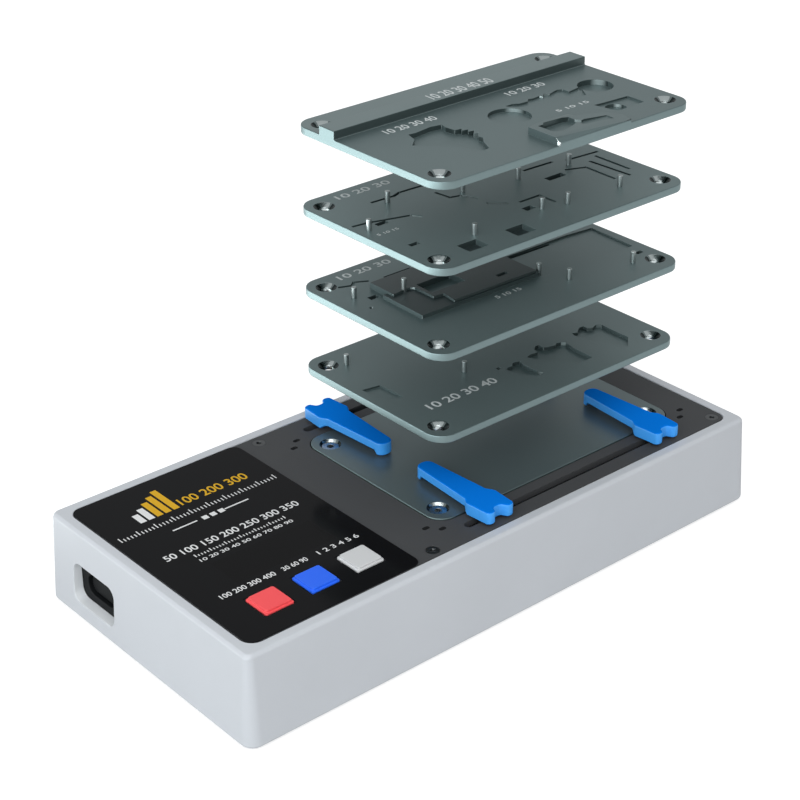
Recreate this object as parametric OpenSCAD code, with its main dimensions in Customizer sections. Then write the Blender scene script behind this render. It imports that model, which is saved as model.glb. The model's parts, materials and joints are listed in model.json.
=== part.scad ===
// Desoldering platform for phone circuit boards: a low case with a mains heated plate,
// three setting buttons, four sliding blue clamps and four interchangeable module plates.
// Origin: middle of the footprint, on the table. +X runs along the case, away from the
// mains inlet. +Y runs across it, away from the operator. Modules stand lifted off the plate.

/* [Case] */
// Length of the case, along X
case_l = 201.2; // [198:0.4:206]
// Width of the case, along Y
case_w = 100.4; // [99:0.2:104]
// Height of the case's rim above the table
rim_z = 30.5; // [30:0.5:34]
// Thickness of the side walls at their foot
case_wall = 3.4; // [3:0.1:3.8]
// How far the walls lean in from their foot to the bevel
case_lean = 1.7; // [0:0.1:1.8]
// Radius of the upright corners at their foot
corner_r = 4.2; // [3.6:0.2:6]
// Width of the bevel around the top of the rim
rim_bevel = 0.9; // [0.6:0.1:1.4]
// Height of the rubber feet below the case
foot_h = 1; // [0.8:0.1:1.2]
// Width of the rim beside the deck's ends
rim_end = 5.5; // [5:0.1:6]
// Width of the rim beside the deck's long sides
rim_side = 5.6; // [5.3:0.1:6.2]

/* [Deck and overlay] */
// Thickness of the metal deck
deck_t = 2; // [1.6:0.1:2.2]
// Depth of the deck's face below the rim
deck_drop = 0.2; // [0.1:0.1:0.6]
// Length of the glossy black overlay, along X
overlay_l = 60.4; // [56:0.2:61]
// Width of the overlay, along Y
overlay_w = 88.4; // [80:0.2:88.4]
// Thickness of the overlay
overlay_t = 0.3; // [0.2:0.05:0.4]

/* [Buttons] */
// Side of a square button cap
button_size = 9.8; // [9:0.1:11]
// Distance between two buttons
button_pitch = 16; // [15:0.5:17]
// Height of a cap above the deck
button_rise = 1.2; // [1:0.1:2]
// Stroke of a button
button_travel = 0.4; // [0.3:0.05:0.5]

/* [Hot plate] */
// Distance of the hot plate's middle from the case's middle
plate_x = 32.8; // [32:0.2:34]
// Length of the hot plate and of the modules
plate_l = 100; // [98:1:102]
// Width of the hot plate and of the modules
plate_w = 64; // [62:1:65]
// Thickness of the hot plate
plate_t = 6; // [5:0.5:6]
// Corner radius of the hot plate and of the modules
plate_r = 6; // [5:0.5:7]
// Height of the hot plate's face above the deck
plate_proud = 0.3; // [0.2:0.1:1]
// Corner holes, hole to hole along X
hole_dx = 89; // [88:0.5:90]
// Corner holes, hole to hole along Y
hole_dy = 50.5; // [49:0.5:51]

/* [Clamps] */
// Distance of a slot from the case's middle line
slot_y = 37.7; // [37.5:0.1:38]
// Length of a slot, end to end
slot_l = 89.6; // [86:0.2:90]
// Width of a slot
slot_w = 2.8; // [2.7:0.1:3]
// Distance between the two clamps of one slot
clamp_span = 71; // [70:0.5:72]
// Length of a clamp from its pivot to its tip
jaw_reach = 29.8; // [27:0.1:30]
// Height of a clamp's top face above the table
jaw_top_z = 35.3; // [35:0.1:35.8]

/* [Modules] */
// Thickness of a module
module_t = 2.4; // [2.2:0.1:2.8]
// Top face of the lowest module above the table
module_1_z = 58.2; // [56:0.1:60]
// Top face of the second module
module_2_z = 84.4; // [82:0.1:86]
// Top face of the third module
module_3_z = 110.4; // [108:0.1:112]
// Top face of the highest module
module_4_z = 135.6; // [134:0.1:138]
// Radius of the locating pins
pin_r = 0.8; // [0.7:0.05:0.9]
// Height of the locating pins above the module's face
pin_h = 3.5; // [3:0.1:4]

/* [Inlet] */
// Width of the recess around the mains inlet
recess_w = 21.2; // [20:0.2:24]
// Height of the recess
recess_h = 12.8; // [12:0.2:15]
// Depth from the wall's foot line to the inlet's face
recess_depth = 3.5; // [3:0.1:5]

/* [Hidden] */
$fn = 48;
hair = 0.1;

// Heights of the case, its deck and its floor
bottom_edge = 0.8;
deck_z = rim_z - deck_drop;
deck_under = deck_z - deck_t;
ledge_t = 2;
cover_z = foot_h + 0.3;
cover_t = 2;
cover_top = cover_z + cover_t;
cover_play = 0.25;
inner_r = corner_r - 1.5;
ledge_x = rim_end + 2.6;
ledge_y = rim_side + 1.9;
deck_play = 0.3;

// Screw columns of the case: two columns at each of these places along X
column_x = [-91, -27.7, 91.2];
column_y = 41;
column_r = 3.2;
pilot_r = 1.25;
pilot_depth = 9;
rib_w = 2.4;
rib_end = case_w / 2 - case_wall + 1;
foot_at = [78, 38];
foot_r = 5;

// Screws with sunk heads: shank radius, head radius, head height and length, and their holes
case_screw = [1.2, 2.7, 1.3, 9];
case_hole = [1.5, 2.8, 1.3];
deck_screw = [1.2, 2.1, 1, 8];
deck_hole = [1.4, 2.2, 1.1];
bracket_screw = [1.25, 2.4, 1.2, 5];
bracket_hole = [1.3, 2.5, 1.2];
// Pan head screws: shank radius, head radius and head height
pan = [1.05, 2, 1.1];
pan_hole_r = 1.2;
head_play = 0.05;

// Cooling slots in the bottom cover
vent = [2.6, 34];
vent_count = 9;
vent_step = 8;

// Inlet: places across and up the left wall
inlet_y = 25.8;
inlet_z = 13;
recess_r = 3.2;
bezel_t = 1;
liner_t = 2;
socket_w = 18;
socket_h = 9.8;
socket_len = 16;
mouth_w = 13.9;
mouth_h = 6.8;
tongue_w = 12.7;
tongue_h = 5.5;
contact_w = 2.4;
contact_y = 3.2;
wall_x = -case_l / 2;
floor_x = wall_x + recess_depth + bezel_t;
contact_end = floor_x + socket_len + 4.2;

// Small oval holes in the deck: a pair outside each corner of the hot plate
oval = [2.5, 1.5];
oval_depth = 1;
oval_at = [[54.3, 31], [50.8, 34.3]];

// Overlay, buttons and the boards under them
overlay_x = wall_x + rim_end + 0.35 + overlay_l / 2;
button_y = -31.3;
button_mid_x = -62.3;
button_x = [button_mid_x - button_pitch, button_mid_x, button_mid_x + button_pitch];
button_gap = 0.3;
flange_t = 0.9;
flange_size = button_size + 1.8;
board_t = 1.6;
board_top = deck_under - 5.6;
board_x = [-92, -36];
board_y = 40;
spacer_r = 2.4;
switch_h = 3.4;
window = [34, 12];
window_at = [-62.6, -12];
power_x = [-90, -30];
power_y = [-42, 6];
power_z = cover_top + 3;
power_top = power_z + board_t;
transformer = [18, 15, 11];
transformer_at = [-82, -30];
capacitor_r = 5;
capacitor_h = 11;
capacitor_at = [-55, -24];
relay = [15.5, 10, 10.5];
relay_at = [-52, -13];
control_spacer_at = [[-81, 36], [-44, 36], [-81, -23], [-44, -23]];

// Heated stack, from the plate down to its bracket
plate_top = deck_z + plate_proud;
plate_under = plate_top - plate_t;
plate_gap = 0.35;
screw_r = 1.5;
sink_r = 3.2;
plate_hole = [screw_r + 0.1, 3.4, 2.6];
plate_screw = [screw_r - 0.05, 2.75, 1.85, plate_t + 7.4];
screw_drop = 0.8;
standoff_r = 3.8;
heater = [66, 36, 1.6];
pusher = [80, 46, 1.2];
heater_screw_at = [36.5, 20];
pusher_z = plate_under - heater[2] - pusher[2];
insulation = [78, 46];
bracket_z = plate_under - 8.3;
bracket_t = 1.5;
bracket = [104, 61];
flange_out = 9;
flange_hole_at = [(bracket[0] + flange_out) / 2, bracket[1] / 2 - 8];
sensor_y = 12;
sensor_z = plate_under + 2.3;
sensor_r = 1.5;
sensor_len = 22;
cutout = [16, 6, 4];
cutout_y = 27.2;

// Slots and clamp rails, and the carriages, posts, springs and jaws on them
slot_x = plate_x - 0.3;
rail_w = 8;
rail_l = 104;
rail_end = 5.6;
rail_z = deck_under - 15;
rail_wall = 1.2;
rail_step_z = deck_under - 6.1;
rail_low_w = 4.8;
carriage = [9, 5.2, 5.6];
carriage_z = rail_step_z + 0.1;
post_r = 1.2;
post_bore = 1.25;
post_foot_z = rail_z + 1.9;
post_foot_r = 2.1;
post_foot_t = 0.8;
collar_r = 2.6;
collar_z = deck_z + 0.2;
collar_t = 0.5;
jaw_head_t = 4.1;
jaw_arm_t = 3;
jaw_foot_t = 4.3;
jaw_head_z = jaw_top_z - jaw_head_t;
jaw_tail = 5.6;
jaw_notch = 2.2;
jaw_bore_h = 3.1;
post_top = jaw_head_z + jaw_bore_h - 0.3;
spring_wire = 0.4;
spring_r = 1.75;
spring_turns = 4.5;
spring_low = post_foot_z + post_foot_t + spring_wire / 2;
spring_high = carriage_z - spring_wire / 2;

// Clamps 1 to 4: back left, front left, front right, back right
clamp_x = [-1, -1, 1, 1] * clamp_span / 2;
clamp_side = [1, -1, -1, 1];

// Modules: depths of the pockets cut for circuit boards and their parts
module_top = [module_1_z, module_2_z, module_3_z, module_4_z];
shallow = 0.6;
middling = 1.1;
deep = 1.7;
groove_w = 1;
pin_seat = 1.5;
module_hole = [screw_r + 0.3, sink_r, 1.2];
ridge_h = 2.6;
ridge_y = [13.1, 19.8];
wedge_x = [-6, 24.5];
wedge_h = [2.2, 0.7];
wedge_edge = 1.5;
land_h = 1.2;
land_step = 0.7;

// Wires: routes from the inlet to the power board, and from the boards to the heated plate
lead_r = 0.9;
heater_lead_y = [-13, -7];
heater_lead_r = 0.5;
heater_lead_z = plate_under - 1;
heater_end = plate_x - heater[0] / 2;

// Flat outline of a rectangle with round corners, centred
module rounded_outline(size, r) {
    square([size[0] - 2 * r, size[1]], center = true);
    square([size[0], size[1] - 2 * r], center = true);
    for (x = [-1, 1], y = [-1, 1])
        translate([x * (size[0] / 2 - r), y * (size[1] / 2 - r)])
            circle(r);
}

// Flat-ended block with round upright corners, from z up to z + h
module rounded_block(size, r, z, h) {
    translate([0, 0, z])
        linear_extrude(h)
            rounded_outline(size, r);
}

// The same block lying along X, for the recess and the inlet in the end wall
module rounded_plug(size, r, x, h) {
    translate([x, inlet_y, inlet_z])
        rotate([90, 0, 90])
            linear_extrude(h)
                rounded_outline(size, r);
}

// Copies at the four corners of a rectangle of half sides x and y
module at_corners(x, y) {
    for (side_x = [-1, 1], side_y = [-1, 1])
        translate([side_x * x, side_y * y, 0])
            children();
}

// Copies at the case's six screw columns
module at_columns() {
    for (x = column_x, y = [-column_y, column_y])
        translate([x, y, 0])
            children();
}

// Copies at the corner holes of the hot plate and of the modules
module at_plate_holes() {
    translate([plate_x, 0, 0])
        at_corners(hole_dx / 2, hole_dy / 2)
            children();
}

// Hole for a countersunk screw through a sheet of this depth, its mouth at height z
module sunk_hole(z, hole, depth) {
    translate([0, 0, z - depth - hair])
        cylinder(r = hole[0], h = depth + 2 * hair);
    translate([0, 0, z - hole[2]])
        cylinder(r1 = hole[0], r2 = hole[1], h = hole[2]);
}

// Countersunk screw with a hexagon socket, its face at height z
module sunk_screw(z, screw) {
    difference() {
        union() {
            translate([0, 0, z - screw[2]])
                cylinder(r1 = screw[0], r2 = screw[1], h = screw[2]);
            translate([0, 0, z - screw[3]])
                cylinder(r = screw[0], h = screw[3] - screw[2] + 0.05);
        }
        translate([0, 0, z - screw[2] * 0.8])
            cylinder(r = screw[1] * 0.42, h = screw[2], $fn = 6);
    }
}

// Pan head screw of length len driven upwards, its head resting under height z
module pan_screw(z, len) {
    difference() {
        translate([0, 0, z - pan[2]])
            cylinder(r = pan[1], h = pan[2]);
        translate([0, 0, z - pan[2] - hair])
            cylinder(r = pan[1] * 0.45, h = pan[2] * 0.6, $fn = 6);
    }
    translate([0, 0, z - 0.05])
        cylinder(r = pan[0], h = len);
}

// Tube of radius r swept along points: rings of n corners, closed at both ends
function unit(v) = v / norm(v);
function heading(p, i) = unit(p[min(i + 1, len(p) - 1)] - p[max(i - 1, 0)]);
function side_of(t, up) = unit(cross(t, up));
function ring(p, t, r, n, up) = let (a = side_of(t, up), b = cross(a, t))
    [for (k = [0:n - 1]) p + r * (cos(360 * k / n) * a + sin(360 * k / n) * b)];
module swept_tube(p, r, n, up) {
    m = len(p);
    rings = [for (i = [0:m - 1]) each ring(p[i], heading(p, i), r, n, up)];
    sides = [for (i = [0:m - 2], k = [0:n - 1], f = [0, 1])
        let (a = i * n + k, b = i * n + (k + 1) % n)
            f == 0 ? [a, b, a + n] : [b, b + n, a + n]];
    caps = [[for (k = [n - 1:-1:0]) k], [for (k = [0:n - 1]) (m - 1) * n + k]];
    polyhedron(points = rings, faces = concat(sides, caps));
}

// Smooth route through the points of a list, with s steps between two of them
function spline_at(a, b, c, d, t) = 0.5 * ((2 * b) + (c - a) * t + (2 * a - 5 * b + 4 * c - d) * t * t
    + (3 * b - a - 3 * c + d) * t * t * t);
function route(p, s) = [for (i = [0:len(p) - 2], k = [0:s - 1])
    spline_at(p[max(i - 1, 0)], p[i], p[i + 1], p[min(i + 2, len(p) - 1)], k / s), p[len(p) - 1]];

// Case body: leaning walls and a bevelled rim on a chamfered foot
module case_solid() {
    wall_z = foot_h + bottom_edge;
    bevel_z = rim_z - rim_bevel;
    case_slab(foot_h, bottom_edge, bottom_edge, 0);
    case_slab(wall_z, bevel_z - wall_z, 0, case_lean);
    case_slab(bevel_z, rim_bevel, case_lean, case_lean + rim_bevel);
}

// Slab of the case's outline whose sides slant, from one inset at its foot to another at its top
function slanted(half, z, h, low, high) =
    [[-half + low, z], [half - low, z], [half - high, z + h], [-half + high, z + h]];
module case_slab(z, h, low, high) {
    at_corners(case_l / 2 - corner_r, case_w / 2 - corner_r)
        translate([0, 0, z])
            cylinder(r1 = corner_r - low, r2 = corner_r - high, h = h);
    rotate([90, 0, 0])
        linear_extrude(case_w - 2 * corner_r, center = true)
            polygon(slanted(case_l / 2, z, h, low, high));
    rotate([90, 0, 90])
        linear_extrude(case_l - 2 * corner_r, center = true)
            polygon(slanted(case_w / 2, z, h, low, high));
}

module housing() {
    color([0.83, 0.85, 0.87])
        difference() {
            union() {
                difference() {
                    case_solid();
                    rounded_block([case_l - 2 * case_wall, case_w - 2 * case_wall], inner_r,
                        foot_h - 1, deck_under - ledge_t - foot_h + 1);
                    rounded_block([case_l - 2 * ledge_x, case_w - 2 * ledge_y], inner_r,
                        deck_under - ledge_t - hair, ledge_t + 2 * hair);
                    rounded_block([case_l - 2 * rim_end, case_w - 2 * rim_side], corner_r,
                        deck_under, rim_z - deck_under + 1);
                }
                for (x = column_x, side = [-1, 1]) {
                    translate([x, side * column_y, cover_top])
                        cylinder(r = column_r, h = deck_under - cover_top);
                    translate([x - rib_w / 2, side > 0 ? column_y : -rib_end, cover_top])
                        cube([rib_w, rib_end - column_y, deck_under - ledge_t - cover_top + 1]);
                }
                rounded_plug([recess_w + 2 * liner_t, recess_h + 2 * liner_t], recess_r + liner_t,
                    wall_x + 2, recess_depth + bezel_t + liner_t - 2);
            }
            at_columns() {
                translate([0, 0, cover_top - hair])
                    cylinder(r = pilot_r, h = pilot_depth);
                translate([0, 0, deck_under - pilot_depth])
                    cylinder(r = pilot_r, h = pilot_depth + hair);
            }
            rounded_plug([recess_w, recess_h], recess_r, wall_x - 1, recess_depth + bezel_t + 1);
            rounded_plug([socket_w + 0.3, socket_h + 0.3], 2, wall_x, recess_depth + bezel_t + liner_t + 1);
        }
}

module bottom_cover() {
    color([0.78, 0.8, 0.82])
        difference() {
            rounded_block([case_l - 2 * (case_wall + cover_play), case_w - 2 * (case_wall + cover_play)],
                inner_r - cover_play, cover_z, cover_t);
            at_columns()
                mirror([0, 0, 1])
                    sunk_hole(-cover_z, case_hole, cover_t);
            for (i = [0:vent_count - 1])
                translate([plate_x + (i - (vent_count - 1) / 2) * vent_step, 0, cover_z - hair])
                    linear_extrude(cover_t + 2 * hair)
                        rounded_outline(vent, vent[0] / 2 - 0.01);
            translate([plate_x, 0, 0])
                at_corners(flange_hole_at[0], flange_hole_at[1])
                    mirror([0, 0, 1])
                        sunk_hole(-cover_z, bracket_hole, cover_t);
        }
}

module rubber_feet() {
    color([0.12, 0.12, 0.12])
        at_corners(foot_at[0], foot_at[1])
            cylinder(r = foot_r, h = cover_z);
}

module bottom_screws() {
    color("silver")
        at_columns()
            mirror([0, 0, 1])
                sunk_screw(-cover_z - head_play, case_screw);
}

module top_deck() {
    color([0.29, 0.3, 0.31])
        difference() {
            rounded_block([case_l - 2 * (rim_end + deck_play), case_w - 2 * (rim_side + deck_play)],
                corner_r - deck_play, deck_under, deck_t);
            translate([plate_x, 0, 0])
                rounded_block([plate_l + 2 * plate_gap, plate_w + 2 * plate_gap], plate_r + plate_gap,
                    deck_under - hair, deck_t + 2 * hair);
            for (side = [-1, 1])
                translate([slot_x, side * slot_y, 0])
                    rounded_block([slot_l, slot_w], slot_w / 2 - 0.01, deck_under - hair, deck_t + 2 * hair);
            at_columns()
                sunk_hole(deck_z, deck_hole, deck_t);
            for (at = oval_at)
                translate([plate_x, 0, 0])
                    at_corners(at[0], at[1])
                        rounded_block(oval, oval[1] / 2 - 0.01, deck_z - oval_depth, oval_depth + hair);
            for (x = button_x)
                translate([x, button_y, deck_under - hair])
                    linear_extrude(deck_t + 2 * hair)
                        square(button_size + 2 * button_gap, center = true);
            translate([window_at[0], window_at[1], deck_under - hair])
                linear_extrude(deck_t + 2 * hair)
                    square(window, center = true);
            for (side = [-1, 1], end = [-1, 1])
                translate([slot_x + end * (rail_l - rail_end) / 2, side * slot_y, deck_under - hair])
                    cylinder(r = 1.1, h = 1.4);
        }
}

module deck_screws() {
    color("silver")
        at_columns()
            sunk_screw(deck_z - head_play, deck_screw);
}

module control_overlay() {
    color([0.06, 0.06, 0.07])
        difference() {
            translate([overlay_x, 0, 0])
                rounded_block([overlay_l, overlay_w], 3, deck_z, overlay_t);
            for (x = button_x)
                translate([x, button_y, deck_z - hair])
                    linear_extrude(overlay_t + 2 * hair)
                        square(button_size + 2 * button_gap, center = true);
        }
}

// Two rows of digits behind the smoked overlay, on the control board
module display_module() {
    digit_w = window[0] / 2 - 1;
    color([0.1, 0.1, 0.1])
        for (side = [-1, 1])
            translate([window_at[0] + side * window[0] / 4 - digit_w / 2, window_at[1] - window[1] / 2 + 0.5,
                board_top])
                cube([digit_w, window[1] - 1, deck_z - 0.3 - board_top]);
}

// Square cap with a stepped edge, a neck through the deck and a flange that holds it in
module button(x) {
    step = 0.7;
    edge_r = 0.8;
    step_z = deck_z + button_rise - step;
    neck_z = deck_under - 0.2;
    translate([x, button_y, 0]) {
        rounded_block([button_size - 1, button_size - 1], edge_r, step_z - 0.05, step + 0.05);
        rounded_block([button_size, button_size], edge_r, neck_z - 0.05, step_z - neck_z + 0.05);
        rounded_block([flange_size, flange_size], edge_r, neck_z - flange_t, flange_t);
    }
}

module temperature_button() {
    color([0.93, 0.32, 0.32])
        button(button_x[0]);
}

module time_button() {
    color([0.18, 0.38, 0.9])
        button(button_x[1]);
}

module confirm_button() {
    color([0.84, 0.84, 0.84])
        button(button_x[2]);
}

module tactile_switches() {
    stem_top = deck_under - 0.2 - flange_t - 0.5;
    color([0.2, 0.2, 0.2])
        for (x = button_x)
            translate([x, button_y, board_top]) {
                translate([-3, -3, 0])
                    cube([6, 6, switch_h]);
                cylinder(r = 1.7, h = stem_top - board_top);
            }
}

module control_board() {
    color([0.1, 0.35, 0.2])
        difference() {
            translate([board_x[0], -board_y, board_top - board_t])
                cube([board_x[1] - board_x[0], 2 * board_y, board_t]);
            for (x = board_x, y = [-board_y, board_y])
                translate([x, y, 0])
                    cylinder(r = 7, h = 2 * board_top, center = true);
        }
}

// Spacers: four hold the control board under the deck, four hold the power board off the floor
module board_spacers() {
    color([0.85, 0.85, 0.8]) {
        for (at = control_spacer_at)
            translate([at[0], at[1], board_top])
                cylinder(r = spacer_r, h = deck_under - board_top);
        for (x = [power_x[0] + 4, power_x[1] - 4], y = [power_y[0] + 8, power_y[1] - 4])
            translate([x, y, cover_top])
                cylinder(r = spacer_r, h = power_z - cover_top);
    }
}

module power_board() {
    color([0.6, 0.5, 0.25])
        difference() {
            translate([power_x[0], power_y[0], power_z])
                cube([power_x[1] - power_x[0], power_y[1] - power_y[0], board_t]);
            for (x = [power_x[0], power_x[1]])
                translate([x, power_y[0], power_z - 1])
                    cylinder(r = 6.5, h = board_t + 2);
        }
}

module power_transformer() {
    recess = 2;
    edge = 4;
    color([0.75, 0.7, 0.3])
        translate([transformer_at[0], transformer_at[1], power_top])
            difference() {
                cube(transformer);
                translate([-1, edge, transformer[2] - recess])
                    cube([transformer[0] + 2, transformer[1] - 2 * edge, recess + 1]);
            }
}

module power_capacitor() {
    color([0.15, 0.15, 0.3])
        translate([capacitor_at[0], capacitor_at[1], power_top])
            difference() {
                cylinder(r = capacitor_r, h = capacitor_h);
                translate([0, 0, capacitor_h - 0.4])
                    cylinder(r = capacitor_r - 1, h = 1);
            }
}

module power_relay() {
    color([0.15, 0.4, 0.75])
        translate([relay_at[0], relay_at[1], power_top])
            cube(relay);
}

// Mains inlet: a face plate that fills the recess, a body behind it and a tongue in its mouth
module inlet_socket() {
    color([0.09, 0.1, 0.11])
        difference() {
            union() {
                rounded_plug([recess_w - 0.3, recess_h - 0.3], recess_r - 0.15, floor_x - bezel_t, bezel_t);
                rounded_plug([socket_w, socket_h], 1.9, floor_x - 0.05, socket_len + 0.05);
            }
            difference() {
                rounded_plug([mouth_w, mouth_h], 3, floor_x - bezel_t - hair, 11);
                rounded_plug([tongue_w, tongue_h], 2.4, floor_x, 11);
            }
            for (side = [-1, 1])
                translate([floor_x + 1, inlet_y + side * contact_y - contact_w / 2,
                    inlet_z + tongue_h / 2 - 0.6])
                    cube([socket_len, contact_w, 0.6 + hair]);
        }
}

module inlet_contacts() {
    color([0.8, 0.65, 0.3])
        for (side = [-1, 1])
            translate([floor_x + 1.2, inlet_y + side * contact_y - contact_w / 2 + 0.05,
                inlet_z + tongue_h / 2 - 0.55])
                cube([contact_end - floor_x - 1.2, contact_w - 0.1, 0.5]);
}

module inlet_leads() {
    color([0.7, 0.15, 0.1])
        for (side = [-1, 1]) {
            y0 = inlet_y + side * contact_y;
            z0 = inlet_z + tongue_h / 2 - 0.3;
            x1 = -64 + side * 4;
            swept_tube(route([[contact_end, y0, z0], [contact_end + 2, y0, z0],
                [contact_end + 5 + side * 2, y0 - 2.5, z0], [x1 + 1, 18, z0 - 1], [x1, 11, z0 - 2],
                [x1, 4, z0 - 2.4], [x1, 2, z0 - 4], [x1, 1.6, power_top]], 3), lead_r, 8, [0.31, 0.17, 0.94]);
        }
}

module heater_leads() {
    color([0.85, 0.85, 0.8])
        for (y = heater_lead_y)
            swept_tube(route([[-33, y, power_top], [-32.8, y, power_top + 3], [-30, y, 12], [-26, y, 15],
                [-23.5, y, bracket_z + bracket_t + 2], [-17, y, bracket_z + bracket_t + 3],
                [-8, y, heater_lead_z - 0.3], [heater_end - 5, y, heater_lead_z],
                [heater_end, y, heater_lead_z]], 3), heater_lead_r, 8, [0.2, 0.9, 0.38]);
}

module sensor_lead() {
    start = plate_x - plate_l / 2 + 0.5;
    color([0.85, 0.85, 0.8])
        swept_tube(route([[start, sensor_y, sensor_z], [start - 4, sensor_y, sensor_z],
            [start - 10, sensor_y + 1, sensor_z - 1], [board_x[1] + 3, sensor_y + 2, board_top - board_t / 2],
            [board_x[1], sensor_y + 2, board_top - board_t / 2]], 4), 0.7, 8, [0.2, 0.37, 0.9]);
}

module hot_plate() {
    color([0.27, 0.31, 0.31])
        difference() {
            translate([plate_x, 0, 0])
                rounded_block([plate_l, plate_w], plate_r, plate_under, plate_t);
            at_plate_holes()
                sunk_hole(plate_top, plate_hole, plate_t);
            translate([plate_x - plate_l / 2 - hair, sensor_y, sensor_z])
                rotate([0, 90, 0])
                    cylinder(r = sensor_r + 0.05, h = sensor_len + 1);
            translate([plate_x, 0, 0])
                at_corners(heater_screw_at[0], heater_screw_at[1])
                    translate([0, 0, plate_under - hair])
                        cylinder(r = 1.1, h = 3.4);
        }
}

module plate_screws() {
    color("silver")
        at_plate_holes()
            sunk_screw(plate_top - screw_drop, plate_screw);
}

module ceramic_standoffs() {
    color([0.93, 0.92, 0.88])
        at_plate_holes()
            translate([0, 0, bracket_z + bracket_t])
                difference() {
                    cylinder(r = standoff_r, h = plate_under - bracket_z - bracket_t);
                    translate([0, 0, -hair])
                        cylinder(r = plate_hole[0], h = 9);
                }
}

// Folded steel bracket: a table under the heated plate on two end walls with flanges
module plate_bracket() {
    color([0.62, 0.63, 0.65])
        difference() {
            translate([plate_x, 0, 0])
                union() {
                    translate([-bracket[0] / 2, -bracket[1] / 2, bracket_z])
                        cube([bracket[0], bracket[1], bracket_t]);
                    for (side = [-1, 1]) {
                        translate([side * (bracket[0] - bracket_t) / 2 - bracket_t / 2,
                            -bracket[1] / 2, cover_top])
                            cube([bracket_t, bracket[1], bracket_z - cover_top + 0.05]);
                        translate([side * (bracket[0] + flange_out - bracket_t) / 2
                            - (flange_out + bracket_t) / 2, -bracket[1] / 2, cover_top])
                            cube([flange_out + bracket_t, bracket[1], bracket_t]);
                    }
                }
            at_plate_holes()
                translate([0, 0, bracket_z - hair])
                    cylinder(r = screw_r, h = bracket_t + 2 * hair);
            translate([plate_x, 0, cover_top - hair])
                at_corners(flange_hole_at[0], flange_hole_at[1])
                    cylinder(r = bracket_hole[0], h = bracket_t + 2 * hair);
        }
}

module bracket_screws() {
    color("silver")
        translate([plate_x, 0, 0])
            at_corners(flange_hole_at[0], flange_hole_at[1])
                mirror([0, 0, 1])
                    sunk_screw(-cover_z - head_play, bracket_screw);
}

module heating_element() {
    color([0.9, 0.88, 0.82])
        translate([plate_x - heater[0] / 2, -heater[1] / 2, plate_under - heater[2]])
            cube(heater);
}

module pressure_plate() {
    color([0.6, 0.61, 0.63])
        difference() {
            translate([plate_x - pusher[0] / 2, -pusher[1] / 2, pusher_z])
                cube(pusher);
            translate([plate_x, 0, pusher_z - hair])
                at_corners(heater_screw_at[0], heater_screw_at[1])
                    cylinder(r = pan_hole_r, h = pusher[2] + 2 * hair);
        }
}

module heater_screws() {
    color("silver")
        translate([plate_x, 0, 0])
            at_corners(heater_screw_at[0], heater_screw_at[1])
                pan_screw(pusher_z, 5.8);
}

module insulation_sheet() {
    color([0.9, 0.89, 0.84])
        translate([plate_x - insulation[0] / 2, -insulation[1] / 2, bracket_z + bracket_t])
            cube([insulation[0], insulation[1], pusher_z - 1.4 - bracket_z - bracket_t]);
}

module temperature_sensor() {
    color("silver")
        translate([plate_x - plate_l / 2 + 0.5, sensor_y, sensor_z])
            rotate([0, 90, 0])
                cylinder(r = sensor_r, h = sensor_len);
}

module thermal_cutout() {
    notch = 2;
    color([0.85, 0.85, 0.85])
        translate([plate_x, cutout_y, plate_under - cutout[2] / 2])
            difference() {
                cube(cutout, center = true);
                for (side = [-1, 1])
                    translate([side * cutout[0] / 2, 0, -cutout[2] / 2])
                        cube([2 * notch, notch, 2 * notch], center = true);
            }
}

// One channel under each slot: a stepped inside carries the carriages
module clamp_rails() {
    color([0.55, 0.56, 0.58])
        for (side = [-1, 1])
            translate([slot_x, side * slot_y, 0])
                difference() {
                    translate([-rail_l / 2, -rail_w / 2, rail_z])
                        cube([rail_l, rail_w, deck_under - rail_z]);
                    translate([-rail_l / 2 + rail_end, -rail_low_w / 2, rail_z + rail_wall])
                        cube([rail_l - 2 * rail_end, rail_low_w, deck_under - rail_z]);
                    translate([-rail_l / 2 + rail_end, -rail_w / 2 + rail_wall, rail_step_z])
                        cube([rail_l - 2 * rail_end, rail_w - 2 * rail_wall, deck_under - rail_step_z + 1]);
                    for (end = [-1, 1])
                        translate([end * (rail_l - rail_end) / 2, 0, rail_z - hair])
                            cylinder(r = pan_hole_r, h = deck_under - rail_z + 1);
                }
}

module rail_screws() {
    color("silver")
        for (side = [-1, 1], end = [-1, 1])
            translate([slot_x + end * (rail_l - rail_end) / 2, side * slot_y, 0])
                pan_screw(rail_z, deck_under - rail_z + 1.1);
}

module at_clamp(i) {
    translate([slot_x + clamp_x[i], clamp_side[i] * slot_y, 0])
        children();
}

// Slider inside a rail, with the bore that guides its post
module clamp_carriage(i) {
    color([0.35, 0.36, 0.38])
        at_clamp(i)
            difference() {
                translate([-carriage[0] / 2, -carriage[1] / 2, carriage_z])
                    cube(carriage);
                translate([0, 0, carriage_z - hair])
                    cylinder(r = post_bore, h = carriage[2] + 2 * hair);
            }
}

// Post: a stud with a foot for the spring below and a collar that carries the jaw
module clamp_post(i) {
    color([0.75, 0.76, 0.78])
        at_clamp(i) {
            translate([0, 0, post_foot_z])
                cylinder(r = post_r, h = post_top - post_foot_z);
            translate([0, 0, post_foot_z])
                cylinder(r = post_foot_r, h = post_foot_t);
            translate([0, 0, collar_z])
                cylinder(r = collar_r, h = collar_t);
        }
}

module clamp_spring(i) {
    steps = 54;
    helix = [for (k = [0:steps]) let (a = 360 * spring_turns * k / steps)
        [spring_r * cos(a), spring_r * sin(a), spring_low + (spring_high - spring_low) * k / steps]];
    color([0.7, 0.71, 0.73])
        at_clamp(i)
            swept_tube(helix, spring_wire / 2, 6, [0, 0, 1]);
}

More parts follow.
